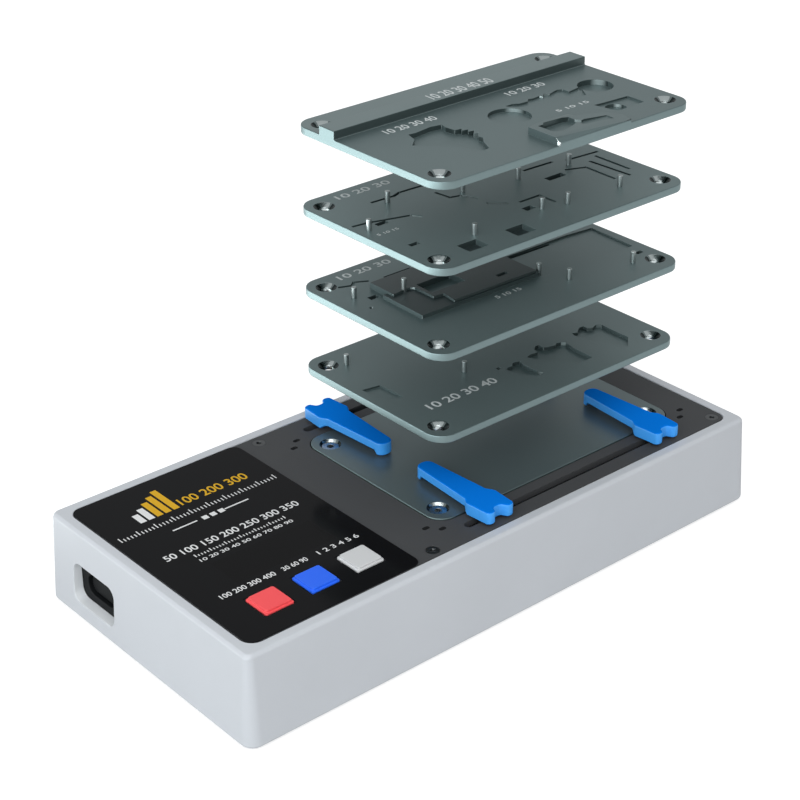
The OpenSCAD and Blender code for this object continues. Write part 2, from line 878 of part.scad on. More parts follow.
// Right half of a jaw's plan: a rounded tip, a tapering arm, a wide head and a notch in its end
jaw_half = [[0.6, jaw_reach], [1.6, jaw_reach - 0.3], [2.4, jaw_reach - 1], [2.8, jaw_reach - 2],
    [4.3, 5.8], [5.5, 4], [5.8, 3], [5.6, 1], [5.2, 1 - jaw_tail], [4.7, 0.3 - jaw_tail],
    [4, -jaw_tail], [3, -jaw_tail], [2.4, 0.3 - jaw_tail], [2, 1 - jaw_tail],
    [1.5, jaw_notch - 0.3 - jaw_tail], [0.8, jaw_notch - jaw_tail]];
jaw_plan = concat(jaw_half, [for (k = [len(jaw_half) - 1:-1:0]) [-jaw_half[k][0], jaw_half[k][1]]]);
// Side view of a jaw: deep head, thin arm and a foot turned down at the tip
jaw_side = [[-jaw_tail - 1, jaw_top_z], [-jaw_tail - 1, jaw_head_z], [3.4, jaw_head_z],
    [4.8, jaw_top_z - jaw_arm_t], [jaw_reach - 3.2, jaw_top_z - jaw_arm_t],
    [jaw_reach - 2.2, jaw_top_z - jaw_foot_t], [jaw_reach + 1, jaw_top_z - jaw_foot_t],
    [jaw_reach + 1, jaw_top_z]];

module clamp_jaw(i) {
    color([0.08, 0.43, 0.85])
        at_clamp(i)
            rotate([0, 0, clamp_side[i] > 0 ? 180 : 0])
                difference() {
                    intersection() {
                        translate([0, 0, jaw_top_z - 6])
                            linear_extrude(6)
                                polygon(jaw_plan);
                        rotate([90, 0, 90])
                            translate([0, 0, -8])
                                linear_extrude(16)
                                    polygon(jaw_side);
                    }
                    translate([0, 0, jaw_head_z - hair])
                        cylinder(r = post_bore, h = jaw_bore_h + hair);
                }
}

// Pocket of depth d cut from the face of module i, from an outline around the module's middle
module pocket(i, outline, d) {
    translate([0, 0, module_top[i] - d])
        linear_extrude(d + 3)
            polygon(outline);
}

module round_pocket(i, at, r, d) {
    translate([at[0], at[1], module_top[i] - d])
        cylinder(r = r, h = d + 3);
}

// Narrow groove along a line of points in the face of module i
module groove(i, line, d) {
    for (k = [0:len(line) - 2]) {
        run = line[k + 1] - line[k];
        translate([line[k][0], line[k][1], module_top[i] - d])
            rotate([0, 0, atan2(run[1], run[0])])
                translate([-groove_w / 2, -groove_w / 2, 0])
                    cube([norm(run) + groove_w, groove_w, d + 3]);
    }
}

function block(x0, y0, x1, y1) = [[x0, y0], [x1, y0], [x1, y1], [x0, y1]];

// Plate that every module starts from, with countersunk corner holes
module module_plate(i) {
    rounded_block([plate_l, plate_w], plate_r, module_top[i] - module_t, module_t);
}

module module_holes(i) {
    at_corners(hole_dx / 2, hole_dy / 2)
        sunk_hole(module_top[i], module_hole, module_t);
}

module raised(i, outline, h) {
    translate([0, 0, module_top[i] - 0.05])
        intersection() {
            linear_extrude(h + 0.05)
                polygon(outline);
            linear_extrude(h + 0.05)
                rounded_outline([plate_l, plate_w], plate_r);
        }
}

// Land whose top falls from one end to the other, with a slanted edge along the front
module wedge(i, outline) {
    front = -plate_w / 2;
    intersection() {
        raised(i, outline, wedge_h[0]);
        translate([0, 0, module_top[i] - 0.05])
            rotate([90, 0, 0])
                linear_extrude(plate_w, center = true)
                    polygon([[wedge_x[0], 0], [wedge_x[1], 0],
                        [wedge_x[1], wedge_h[1]], [wedge_x[0], wedge_h[0]]]);
        translate([0, 0, module_top[i] - 0.05])
            rotate([90, 0, 90])
                linear_extrude(plate_l, center = true)
                    polygon([[front, 0], [0, 0], [0, wedge_h[0]], [front + wedge_edge, wedge_h[0]],
                        [front, wedge_h[0] - wedge_edge]]);
    }
}

// Locating pins: place around the module's middle, and height of the land that a pin stands on
pins_1 = [[-40, 22, 0], [-16, -5, 0]];
pins_2 = [[-43, 14, 0], [-30.5, 6, land_h + land_step], [10, -9.5, 0], [14, -18.5, 0], [37.5, -22.5, 0]];
pins_3 = [[-28.5, 15.5, 0], [-46, 3, 0], [-6.5, 7, 0], [-25.5, -19, 0], [13, 3.5, 0], [32.5, 1.5, 0],
    [2, -18, 0], [10.5, -20, 0], [31.5, -21, 0]];

module module_1() {
    color([0.3, 0.35, 0.35])
        translate([plate_x, 0, 0])
            difference() {
                module_plate(0);
                module_holes(0);
                pin_seats(0, pins_1);
                pocket(0, [[-47, 6], [-41, 5], [-40.5, -5], [-46.5, -4]], shallow);
                pocket(0, [[-5.6, -12.6], [-4.6, -12], [-2.8, -12.2], [-1.6, -11], [-0.4, -10.7],
                    [1.2, -11.4], [0.4, -13.6], [0.6, -19.5], [1.4, -21.4], [-1, -22], [-5, -17]], middling);
                pocket(0, block(-7.6, -11.2, -6.4, -10), deep);
                pocket(0, [[4.8, -10.8], [7.1, -10.2], [9.6, -10.6], [10.2, -8.4], [11.9, -7.1], [13.3, -7.2],
                    [13.2, -9.4], [14.6, -10.2], [17, -10.8], [18.2, -10], [19.8, -10.4], [20.9, -11.4],
                    [20, -15.6], [19.8, -24], [14, -24], [8, -17]], middling);
                pocket(0, [[26.4, -9.8], [27, -8.2], [28.6, -9], [30.2, -7.6], [31.6, -6.9], [33.2, -7],
                    [33, -8.8], [34.6, -9.8], [36.8, -8.9], [38.3, -10], [38.1, -16], [38.2, -21.6],
                    [33.4, -26], [28, -18]], middling);
            }
}

module module_2() {
    color([0.3, 0.35, 0.35])
        translate([plate_x, 0, 0])
            difference() {
                union() {
                    module_plate(1);
                    raised(1, [[-37.4, -10.2], [8.8, -11], [8.8, 4], [-6, 8], [-37, 8]], land_h);
                    raised(1, [[-35.4, 5], [-28.4, 5.6], [-27.4, 4.7], [-27.4, -3.7], [-23.8, -4.2],
                        [-24.4, -9.5], [8.2, -10.2], [8.2, 3.5], [-6, 7.5], [-8, 16], [-35.2, 16]],
                        land_h + land_step);
                }
                module_holes(1);
                pin_seats(1, pins_2);
                pocket(1, block(-25.8, -1.5, -12.8, 5.7), 0);
                pocket(1, block(-3.6, -6.2, 0.4, -4.8), 0);
                pocket(1, [[9, 5.8], [36, 5.6], [47, 4.4], [46.3, -14], [9, -12]], shallow);
                pocket(1, block(-27, 16.6, -16.5, 19.6), deep);
                groove(1, [[-41.5, 22.5], [-38, 21], [-36, 22.5], [-32.5, 20.5]], shallow);
                pocket(1, block(-40, 9.5, -36.6, 11.5), deep);
                groove(1, [[-9, 6], [28, 4.9]], deep);
                round_pocket(1, [-43.4, 5.3], 0.7, deep);
                pocket(1, block(43, -19.5, 45.5, -18), deep);
            }
}

module module_3() {
    color([0.3, 0.35, 0.35])
        translate([plate_x, 0, 0])
            difference() {
                module_plate(2);
                module_holes(2);
                pin_seats(2, pins_3);
                groove(2, [[-32, 18.2], [-24, 17.8], [-21, 18.8], [-12, 18.4]], deep);
                groove(2, [[-47.5, 8], [-43, 7.4], [-30, 3.4], [-28.6, 0.6]], shallow);
                pocket(2, block(-42, 3.6, -38, 5.4), deep);
                pocket(2, block(-34.6, -27, -27.4, -21.6), deep);
                pocket(2, block(-17, -28, -10, -22.4), deep);
                pocket(2, block(-44.4, -13.6, -41, -12), deep);
                groove(2, [[-13, 11.4], [-12.4, 6], [-9, 5], [-6.8, 0.5], [-6.9, -4.7], [-3, -8.3]], shallow);
                groove(2, [[1, -10.2], [8.6, -10.2], [8.6, -16.4]], shallow);
                pocket(2, block(-2.4, -16.4, 1.2, -14), deep);
                pocket(2, block(19, -4, 26, -1.6), deep);
                groove(2, [[19, 7], [30, 6.6]], deep);
                groove(2, [[35, 4.6], [47, 3.6]], shallow);
                groove(2, [[29, -1], [35, -3.5], [34.8, -15.5]], shallow);
                groove(2, [[44, 1], [44, -12.7]], shallow);
                groove(2, [[39.5, -1], [40.4, -16.4]], shallow);
            }
}

module module_4() {
    color([0.36, 0.41, 0.41])
        translate([plate_x, 0, 0])
            difference() {
                union() {
                    module_plate(3);
                    raised(3, block(-plate_l / 2, ridge_y[0], plate_l / 2, ridge_y[1]), ridge_h);
                    wedge(3, [[-6, -32], [-6, -19.5], [2, -17.6], [11.5, -17.6], [12.5, -20], [22, -22.5],
                        [24.5, -27], [23, -32]]);
                }
                module_holes(3);
                pocket(3, [[-31.4, 2.6], [-29, 2.3], [-22.7, 3.2], [-19, 2.5], [-19.6, 0.1], [-19.2, -3.4],
                    [-17, -3.8], [-18, -5], [-15.9, -5.4], [-17.2, -6.8], [-15.3, -7.2], [-17, -8.8],
                    [-15.8, -9.6], [-17.5, -11.4], [-17.3, -13.1], [-19.4, -15.6], [-21.6, -20.2],
                    [-24.1, -20.4], [-28, -13], [-36.2, -4.6], [-32.6, -1.4]], deep - shallow / 2);
                pocket(3, [[5.2, 1.6], [8.2, 1.7], [9.9, 0.6], [13, 0.3], [14.6, 1.7], [15.9, 1.2], [19, 1.5],
                    [19.4, 0.4], [21.4, 2.1], [22.6, 0.8], [26.7, 2], [28.3, 1.2], [28.2, -1.6], [34, -0.6],
                    [30, -7], [12, -4], [7, -1]], shallow);
                round_pocket(3, [0.5, -5.2], 6.4, middling);
                round_pocket(3, [38.1, -2.9], 5.5, deep);
                pocket(3, [[-3.2, -20.5], [-1, -20.4], [0.2, -19.2], [7.8, -19], [9.7, -19.8], [9.6, -24],
                    [3.6, -26.4], [-0.2, -27.6], [-2.9, -26.4]], 0);
                pocket(3, [[9, -21.4], [10.8, -24], [12.2, -23.6], [20, -24.9], [20, -28], [9, -27]],
                    -shallow);
                pocket(3, [[25.4, -14.8], [29, -15.2], [38.6, -15.8], [38.4, -22.4], [27, -22.8]], shallow);
                round_pocket(3, [29.8, -19.4], 3.2, deep);
            }
}

// Seats of the locating pins, and the pins pressed into them
module pin_seats(i, pins) {
    for (at = pins)
        translate([at[0], at[1], module_top[i] - pin_seat])
            cylinder(r = pin_r, h = pin_seat + 3);
}

module locating_pins(i, pins) {
    color([0.62, 0.66, 0.66])
        for (at = pins)
            translate([plate_x + at[0], at[1], module_top[i] - pin_seat])
                cylinder(r = pin_r, h = pin_seat + at[2] + pin_h);
}

housing();
bottom_cover();
rubber_feet();
bottom_screws();
top_deck();
deck_screws();
control_overlay();
display_module();
temperature_button();
time_button();
confirm_button();
tactile_switches();
control_board();
board_spacers();
power_board();
power_transformer();
power_capacitor();
power_relay();
inlet_socket();
inlet_contacts();
inlet_leads();
heater_leads();
sensor_lead();
hot_plate();
plate_screws();
ceramic_standoffs();
plate_bracket();
bracket_screws();
heating_element();
pressure_plate();
heater_screws();
insulation_sheet();
temperature_sensor();
thermal_cutout();
clamp_rails();
rail_screws();
clamp_carriage(0);  // clamp_carriage_1
clamp_post(0);  // clamp_post_1
clamp_spring(0);  // clamp_spring_1
clamp_jaw(0);  // clamp_jaw_1
clamp_carriage(1);  // clamp_carriage_2
clamp_post(1);  // clamp_post_2
clamp_spring(1);  // clamp_spring_2
clamp_jaw(1);  // clamp_jaw_2
clamp_carriage(2);  // clamp_carriage_3
clamp_post(2);  // clamp_post_3
clamp_spring(2);  // clamp_spring_3
clamp_jaw(2);  // clamp_jaw_3
clamp_carriage(3);  // clamp_carriage_4
clamp_post(3);  // clamp_post_4
clamp_spring(3);  // clamp_spring_4
clamp_jaw(3);  // clamp_jaw_4
module_1();
locating_pins(0, pins_1);  // module_1_pins
module_2();
locating_pins(1, pins_2);  // module_2_pins
module_3();
locating_pins(2, pins_3);  // module_3_pins
module_4();
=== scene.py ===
# %% [markdown]
# # A desoldering platform, from its parts to its picture
# The object is a low grey case for a workbench. A heated plate lies in its dark deck, four blue
# clamps slide along two slots beside the plate, and four thin plates with pockets for circuit
# boards hang above it as an exploded stack. The solids come from an exact model and never change
# here. This notebook softens their edges, adds the printed marks, and gives every surface its
# finish.

# %% Load the fixed frame
import json
import math

import bpy
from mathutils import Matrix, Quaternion, Vector


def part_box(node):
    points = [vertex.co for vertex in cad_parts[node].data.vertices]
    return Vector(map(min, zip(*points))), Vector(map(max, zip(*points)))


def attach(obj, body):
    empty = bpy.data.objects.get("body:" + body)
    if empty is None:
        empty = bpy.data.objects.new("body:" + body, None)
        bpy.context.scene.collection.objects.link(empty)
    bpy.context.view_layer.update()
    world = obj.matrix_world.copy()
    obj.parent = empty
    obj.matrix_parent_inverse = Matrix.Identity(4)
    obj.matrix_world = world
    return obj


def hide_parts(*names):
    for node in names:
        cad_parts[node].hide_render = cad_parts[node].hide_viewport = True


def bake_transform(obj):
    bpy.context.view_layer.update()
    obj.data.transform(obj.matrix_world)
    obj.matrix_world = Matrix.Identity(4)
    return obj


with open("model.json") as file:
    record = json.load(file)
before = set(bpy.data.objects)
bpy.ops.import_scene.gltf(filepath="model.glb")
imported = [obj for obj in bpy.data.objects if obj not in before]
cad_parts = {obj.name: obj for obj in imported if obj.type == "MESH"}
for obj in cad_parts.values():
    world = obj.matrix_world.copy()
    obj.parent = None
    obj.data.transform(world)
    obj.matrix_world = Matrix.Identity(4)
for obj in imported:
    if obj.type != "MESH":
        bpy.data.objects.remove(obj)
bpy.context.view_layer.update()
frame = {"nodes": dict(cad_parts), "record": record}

MM = 0.001

# %% [markdown]
# ## The camera
# The photograph looks along the case from its front left corner, 28 degrees down. Straight edges
# and the rows of holes gave the viewpoint. A long lens keeps the far plates nearly as large as the
# near ones. The place and the point looked at are written out, and a small roll levels the case as
# in the photo.

# %% Place the camera
CAMERA_PLACE = Vector((-332.7, -384.8, 325.9)) * MM
CAMERA_TARGET = Vector((-12.0, -8.7, 60.0)) * MM
CAMERA_ROLL = math.radians(-0.377)
LENS = 86.35
SENSOR = 36.0

camera_data = bpy.data.cameras.new("camera")
camera_data.lens = LENS
camera_data.sensor_width = SENSOR
camera = bpy.data.objects.new("camera", camera_data)
bpy.context.scene.collection.objects.link(camera)
sight = (CAMERA_TARGET - CAMERA_PLACE).normalized()
camera.location = CAMERA_PLACE
camera.rotation_mode = "QUATERNION"
camera.rotation_quaternion = sight.to_track_quat("-Z", "Y") @ Quaternion((0, 0, 1), CAMERA_ROLL)
bpy.context.scene.camera = camera
print("camera", round((CAMERA_TARGET - CAMERA_PLACE).length, 3), "m from its target")

# %% [markdown]
# ## Shader maths as Python
# A finish is a small network of nodes. Written as nodes, a sum of two patterns takes four lines;
# written as an expression it takes one. A Wire holds one output socket, and the operators on it
# add Math nodes. The Finish class starts a material and has one method for any other node.

# %% A wire that can be added and multiplied
class Wire:
    """One output socket of a material's node tree."""

    def __init__(self, finish, socket):
        self.finish = finish
        self.socket = socket

    def math(self, operation, first, second):
        return self.finish.add("Math", {"operation": operation}, {0: first, 1: second})

    def __add__(self, other):
        return self.math("ADD", self, other)

    def __radd__(self, other):
        return self.math("ADD", other, self)

    def __sub__(self, other):
        return self.math("SUBTRACT", self, other)

    def __rsub__(self, other):
        return self.math("SUBTRACT", other, self)

    def __mul__(self, other):
        return self.math("MULTIPLY", self, other)

    def __rmul__(self, other):
        return self.math("MULTIPLY", other, self)

    def __lt__(self, other):
        return self.math("LESS_THAN", self, other)

    def size(self):
        return self.math("ABSOLUTE", self, 0.0)


# %% A finish that adds nodes by name
class Finish:
    """A material with a Principled shader, and one method that adds any node to it."""

    def __init__(self, name, **constants):
        self.material = bpy.data.materials.new(name)
        self.material.use_nodes = True
        self.tree = self.material.node_tree
        self.shader = self.tree.nodes["Principled BSDF"]
        for key, value in constants.items():
            self.shader.inputs[key.replace("_", " ")].default_value = value
        self.place = self.add("TexCoord", {}, {}, "Object")

    def add(self, kind, settings, inputs, output=0):
        node = self.tree.nodes.new("ShaderNode" + kind)
        for key, value in settings.items():
            setattr(node, key, value)
        for key, value in inputs.items():
            self.feed(node.inputs[key], value)
        return Wire(self, node.outputs[output])

    def feed(self, socket, value):
        if isinstance(value, Wire):
            self.tree.links.new(value.socket, socket)
        else:
            socket.default_value = value

    def noise(self, grain, detail=2.0, roughness=0.5, stretch=(1, 1, 1)):
        """Noise between 0 and 1 with grains of about this many millimetres."""
        spread = self.add("Mapping", {}, {"Vector": self.place, "Scale": stretch})
        scale = 1 / (grain * MM)
        inputs = {"Vector": spread, "Scale": scale, "Detail": detail, "Roughness": roughness}
        return self.add("TexNoise", {}, inputs)

    def blend(self, factor, first, second):
        """Mixes two colours, each given as red, green and blue."""
        inputs = {0: factor, 6: (*first, 1), 7: (*second, 1)}
        return self.add("Mix", {"data_type": "RGBA"}, inputs, 2)

    def axis(self, letter):
        return self.add("SeparateXYZ", {}, {0: self.place}, letter)

    def colour(self, value):
        self.feed(self.shader.inputs["Base Color"], value)

    def rough(self, value):
        self.feed(self.shader.inputs["Roughness"], value)

    def bump(self, height, strength, depth):
        """Raises the surface by a height pattern: depth in millimetres."""
        inputs = {"Height": height, "Strength": strength, "Distance": depth * MM}
        self.feed(self.shader.inputs["Normal"], self.add("Bump", {}, inputs))


print("shader helpers ready")

# %% [markdown]
# ## Moulded plastics
# The case, the caps and the clamps are injection moulded. Real mouldings have a spark-eroded
# texture of a third of a millimetre, a slightly uneven sheen, and a very faint change of tone
# where the melt flowed. One function makes them all, because only the colour, the gloss and the
# grain differ. The sides of the clamps and the walls of the inlet's recess catch more light than a
# plain room gives them, so they get lighter tones: that is painted light, not their own colour.

# %% Finishes of the moulded plastics
def moulded(name, tone, rough, grain=0.35, depth=0.012, shift=0.04, **constants):
    """Textured plastic: tone is its colour, shift how far the tone wanders."""
    finish = Finish(name, **constants)
    flow = finish.noise(28.0, detail=3.0)
    darker = tuple(c * (1 - shift) for c in tone)
    lighter = tuple(min(1.0, c * (1 + shift)) for c in tone)
    finish.colour(finish.blend(flow, darker, lighter))
    skin = finish.noise(grain, roughness=0.6)
    finish.rough(rough - 0.05 + 0.1 * finish.noise(6.0) + 0.04 * skin)
    finish.bump(skin, strength=0.35, depth=depth)
    return finish.material


case_plastic = moulded("case_plastic", (0.58, 0.6, 0.634), rough=0.52)
# A lighter tone for the walls of the inlet's recess: painted light.
recess_painted_light = moulded("recess_painted_light", (0.8, 0.82, 0.84), rough=0.52)
clamp_blue = moulded("clamp_blue", (0.003, 0.205, 0.82), rough=0.36, grain=0.5, shift=0.03,
                     Specular_IOR_Level=0.0)
# A lighter blue for the sides of the clamps: painted light.
clamp_side = moulded("clamp_side", (0.05, 0.38, 1.0), rough=0.4, grain=0.5, shift=0.02)
cap_red = moulded("cap_red", (0.98, 0.09, 0.1), rough=0.4, Specular_IOR_Level=0.3)
cap_blue = moulded("cap_blue", (0.02, 0.145, 0.95), rough=0.4, Specular_IOR_Level=0.3)
cap_white = moulded("cap_white", (0.66, 0.665, 0.67), rough=0.4)
socket_black = moulded("socket_black", (0.009, 0.01, 0.011), rough=0.5, Specular_IOR_Level=0.06)
rubber_black = moulded("rubber_black", (0.03, 0.03, 0.03), rough=0.75, grain=0.6)
print("made the moulded plastics")

# %% [markdown]
# ## Coated and anodised metal
# The deck is steel with a fine satin powder coat, so its grain is a soft orange peel. The hot
# plate and the modules are aluminium, bead blasted and anodised in a dark green grey: the metal
# still mirrors its surroundings, but the blasting blurs it. Both use noise of two scales, one for
# the grain and one for the uneven take-up of the colour.

# %% Finishes of the deck, the hot plate and the modules
def coated(name, tone, rough, specular):
    """Powder coat: patches of a slightly other tone and sheen under a soft orange peel."""
    finish = Finish(name, Specular_IOR_Level=specular)
    patch = finish.noise(18.0, detail=3.0)
    darker = tuple(0.93 * c for c in tone)
    lighter = tuple(1.07 * c for c in tone)
    finish.colour(finish.blend(patch, darker, lighter))
    peel = finish.noise(0.5, roughness=0.6)
    finish.rough(rough - 0.05 + 0.1 * patch)
    finish.bump(peel, strength=0.4, depth=0.012)
    return finish.material


def anodised(name, tone, rough, metallic=1.0):
    """Blasted and dyed aluminium: the less metallic, the more the dye hides the metal."""
    finish = Finish(name, Metallic=metallic)
    dye = finish.noise(22.0, detail=4.0)
    blast = finish.noise(0.3, detail=1.0)
    darker = tuple(0.92 * c for c in tone)
    lighter = tuple(1.08 * c for c in tone)
    finish.colour(finish.blend(dye, darker, lighter))
    finish.rough(rough - 0.04 + 0.06 * dye + 0.04 * blast)
    finish.bump(blast, strength=0.15, depth=0.006)
    return finish.material


deck_coat = coated("deck_coat", (0.068, 0.07, 0.073), rough=0.6, specular=0.1)
# A darker tone for the walls and floors of the deck's small holes: painted shade.
hole_painted_shade = coated("hole_painted_shade", (0.022, 0.023, 0.024), rough=0.7, specular=0.05)
plate_face = anodised("plate_face", (0.115, 0.155, 0.16), rough=0.34, metallic=0.45)
module_face = anodised("module_face", (0.152, 0.21, 0.213), rough=0.4, metallic=0.5)
module_dark = anodised("module_dark", (0.128, 0.177, 0.18), rough=0.4, metallic=0.5)
# A lighter painted reflection for the back of module 4, and a darker one for raised or sunk parts
# of modules 2 and 3.
ridge_painted_reflection = anodised("ridge_painted_reflection", (0.19, 0.245, 0.247), rough=0.42, metallic=0.5)
painted_dark_reflection = anodised("painted_dark_reflection", (0.05, 0.07, 0.072), rough=0.4, metallic=0.5)
print("made the coated and anodised metal")

# %% [markdown]
# ## Where the cutter has been
# The rim of a module, its countersinks and the walls of its pockets are cut after the blasting, so
# they shine; part of that shine is painted. The rim is one light tone. A countersink gets a
# painted highlight in two opposite sectors and painted shade between them, so it takes three
# finishes. The wall of a pocket gets a painted glint where it looks to the left front, and painted
# shade where it looks to the front. A finish for every facet would show as hard patches on a round
# wall, so the shader compares the normal with that direction and fades from the painted shade to
# the painted glint.

# %% Finishes of the cut surfaces, with their painted light
PAINTED_GLINT_WAY = Vector((-0.84, -0.54, 0))
PAINTED_GLINT_FROM = 0.87


def painted_glint_wall(name, dark, bright):
    """An upright wall of a pocket: a painted glint where it looks along the glint direction, else
    painted shade.
    """
    finish = Finish(name, Metallic=0.6)
    looks = finish.add("TexCoord", {}, {}, "Normal")
    vectors = {0: looks, 1: PAINTED_GLINT_WAY}
    along = finish.add("VectorMath", {"operation": "DOT_PRODUCT"}, vectors, "Value")
    limits = {"Value": along, "From Min": PAINTED_GLINT_FROM, "From Max": 1.0}
    share = finish.add("MapRange", {"interpolation_type": "SMOOTHSTEP"}, limits)
    finish.colour(finish.blend(share, dark, bright))
    finish.rough(0.43 + 0.04 * finish.noise(0.3, detail=1.0))
    return finish.material


module_rim = anodised("module_rim", (0.185, 0.245, 0.25), rough=0.5)
# A painted highlight, a painted half light and painted shade for the sectors of the countersinks.
sink_painted_highlight = anodised("sink_painted_highlight", (0.5, 0.55, 0.55), rough=0.25)
sink_painted_half_light = anodised("sink_painted_half_light", (0.2, 0.24, 0.24), rough=0.25)
sink_painted_shade = anodised("sink_painted_shade", (0.02, 0.03, 0.03), rough=0.25)
# Painted shade on the pocket walls, fading to a painted glint where they look to the left front.
pocket_painted_glint_and_shade = painted_glint_wall("pocket_painted_glint_and_shade", (0.06, 0.085, 0.085), (0.42, 0.5, 0.5))
print("made the cut surfaces, glints start at", PAINTED_GLINT_FROM)

# %% [markdown]
# ## Bare metal and the small inner parts
# Pins and springs are drawn steel, with faint lines along the drawing direction. The screws in the
# hot plate are bright, those in the deck grey and those underneath black. The boards, the wires
# and the parts inside the case hardly show, but they carry the finish that they have when the case
# is opened.

# %% Finishes of bare metal
def drawn_metal(name, tone, rough, grain=0.25):
    """Drawn or rolled metal, with lines that are long upwards."""
    finish = Finish(name, Metallic=1.0)
    lines = finish.noise(grain, roughness=0.6, stretch=(1, 1, 0.08))
    finish.colour(finish.blend(lines, tuple(0.85 * c for c in tone), tone))
    finish.rough(rough + 0.12 * lines)
    finish.bump(lines, strength=0.2, depth=0.004)
    return finish.material


pin_steel = drawn_metal("pin_steel", (0.45, 0.5, 0.5), rough=0.28)
spring_steel = drawn_metal("spring_steel", (0.55, 0.56, 0.57), rough=0.3)
screw_black = drawn_metal("screw_black", (0.05, 0.052, 0.055), rough=0.4)
screw_grey = drawn_metal("screw_grey", (0.12, 0.126, 0.13), rough=0.3)
screw_steel = drawn_metal("screw_steel", (0.42, 0.45, 0.46), rough=0.22)
sheet_steel = drawn_metal("sheet_steel", (0.42, 0.43, 0.45), rough=0.4, grain=0.5)
contact_brass = drawn_metal("contact_brass", (0.72, 0.53, 0.22), rough=0.3)
board_green = moulded("board_green", (0.02, 0.16, 0.07), rough=0.35, grain=1.2, shift=0.2)
board_tan = moulded("board_tan", (0.45, 0.32, 0.12), rough=0.5, grain=0.8, shift=0.12)
body_black = moulded("body_black", (0.03, 0.03, 0.035), rough=0.45)
tape_yellow = moulded("tape_yellow", (0.62, 0.5, 0.12), rough=0.4)
relay_blue = moulded("relay_blue", (0.03, 0.14, 0.48), rough=0.4)
ceramic = moulded("ceramic", (0.8, 0.78, 0.72), rough=0.7, grain=0.25)
mica = moulded("mica", (0.62, 0.57, 0.45), rough=0.5, grain=3.0, shift=0.15)
wire_red = moulded("wire_red", (0.55, 0.04, 0.03), rough=0.45)
wire_white = moulded("wire_white", (0.78, 0.78, 0.74), rough=0.7)
print("made the bare metal and the finishes of the inner parts")

# %% [markdown]
# ## The glossy film
# The left part of the deck is covered by a black polycarbonate film, printed on its underside. It
# is smooth, so it mirrors the plates above it faintly. A smoked window for the digits lies between
# the marks and the buttons: a slightly browner black with a hard edge, drawn with the film's own
# coordinates because the film is one flat piece.

# %% Finish of the film
WINDOW_MIDDLE = (-62.3 * MM, -12.0 * MM)
WINDOW_HALF = (17.5 * MM, 6.5 * MM)
PRINTED_BLACK = (0.0066, 0.0066, 0.0074)
SMOKED_BLACK = (0.0058, 0.0056, 0.0061)


def film():
    finish = Finish("film_black", Specular_IOR_Level=0.06)
    inside_x = (finish.axis("X") - WINDOW_MIDDLE[0]).size() < WINDOW_HALF[0]
    inside_y = (finish.axis("Y") - WINDOW_MIDDLE[1]).size() < WINDOW_HALF[1]
    finish.colour(finish.blend(inside_x * inside_y, PRINTED_BLACK, SMOKED_BLACK))
    finish.rough(0.1 + 0.05 * finish.noise(9.0))
    finish.bump(finish.noise(14.0), strength=0.1, depth=0.02)
    return finish.material


film_black = film()
print("made the film")

# %% [markdown]
# ## Softening the edges of the solids
# An exact solid has edges of no width, and nothing real has those: the thin bright line along a
# plate is a tiny rounding that catches the light. The solid's triangles are merged into clean
# faces on a copy, a bevel rounds every sharp edge, and weighted normals keep the broad faces flat.
# The solid could also be rounded in the exact model, but there every rounding costs hundreds of
# faces.


def pick(piece):
    """Selects one piece and nothing else."""
    bpy.ops.object.select_all(action="DESELECT")
    piece.select_set(True)
    bpy.context.view_layer.objects.active = piece


def finish_by_modifier(piece, kind, **settings):
    """Adds a modifier with these settings and applies it."""
    pick(piece)
    bpy.ops.object.modifier_add(type=kind)
    modifier = piece.modifiers[-1]
    for key, value in settings.items():
        setattr(modifier, key, value)
    bpy.ops.object.modifier_apply(modifier=modifier.name)


def copied(node, material):
    """A free copy of a part with one finish. It replaces the part."""
    pick(frame["nodes"][node])
    bpy.ops.object.duplicate()
    piece = bpy.context.active_object
    piece.name = node + "_soft"
    piece.parent = None
    for key in list(piece.keys()):
        del piece[key]
    piece.data.materials.clear()
    piece.data.materials.append(material)
    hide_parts(node)
    return piece


# %% [markdown]
# ## Which edges get how much
# On a milled plate the outer edges are broken by hand, and the pockets are left nearly as the
# cutter made them. So the edges get weights, and the bevel follows them: all of it at the outline,
# more than half at the lips of the corner holes, and a small share, or none, inside. The solid's
# outline is a box with round corners, and an edge belongs to it when both its ends do. Edges that
# slope are left sharp.

# %% Find the outline and the corner holes
HOLE_AT = (44.5 * MM, 25.25 * MM)
HOLE_REACH = 3.6 * MM
SIDE_PLAY = 0.03 * MM
ARC_PLAY = 0.1 * MM


def at_hole(away):
    """Whether a point, measured from a plate's middle, is at one of its corner holes."""
    return Vector((abs(away.x) - HOLE_AT[0], abs(away.y) - HOLE_AT[1])).length < HOLE_REACH


def on_outline(place, low, high, corner):
    """Whether a point is on the upright outline of a box with round corners."""
    x = abs(place.x - (low.x + high.x) / 2) - (high.x - low.x) / 2
    y = abs(place.y - (low.y + high.y) / 2) - (high.y - low.y) / 2
    if max(x, y) > -SIDE_PLAY:
        return True
    return min(x, y) > -corner and math.hypot(x + corner, y + corner) > corner - ARC_PLAY


print("corner holes at", [round(c / MM, 2) for c in HOLE_AT], "mm from a plate's middle")

# %% Weigh the edges
EDGE_ANGLE = math.radians(28)
CORNER = 6.0 * MM
LEVEL = 0.01 * MM
STEEP = 0.5
LIP_SHARE = 0.6


def start_with_no_edge():
    """Goes to edit mode, where edges are picked, with none of them selected."""
    bpy.ops.object.mode_set(mode="EDIT")
    bpy.ops.mesh.select_mode(type="EDGE")
    bpy.ops.mesh.select_all(action="DESELECT")


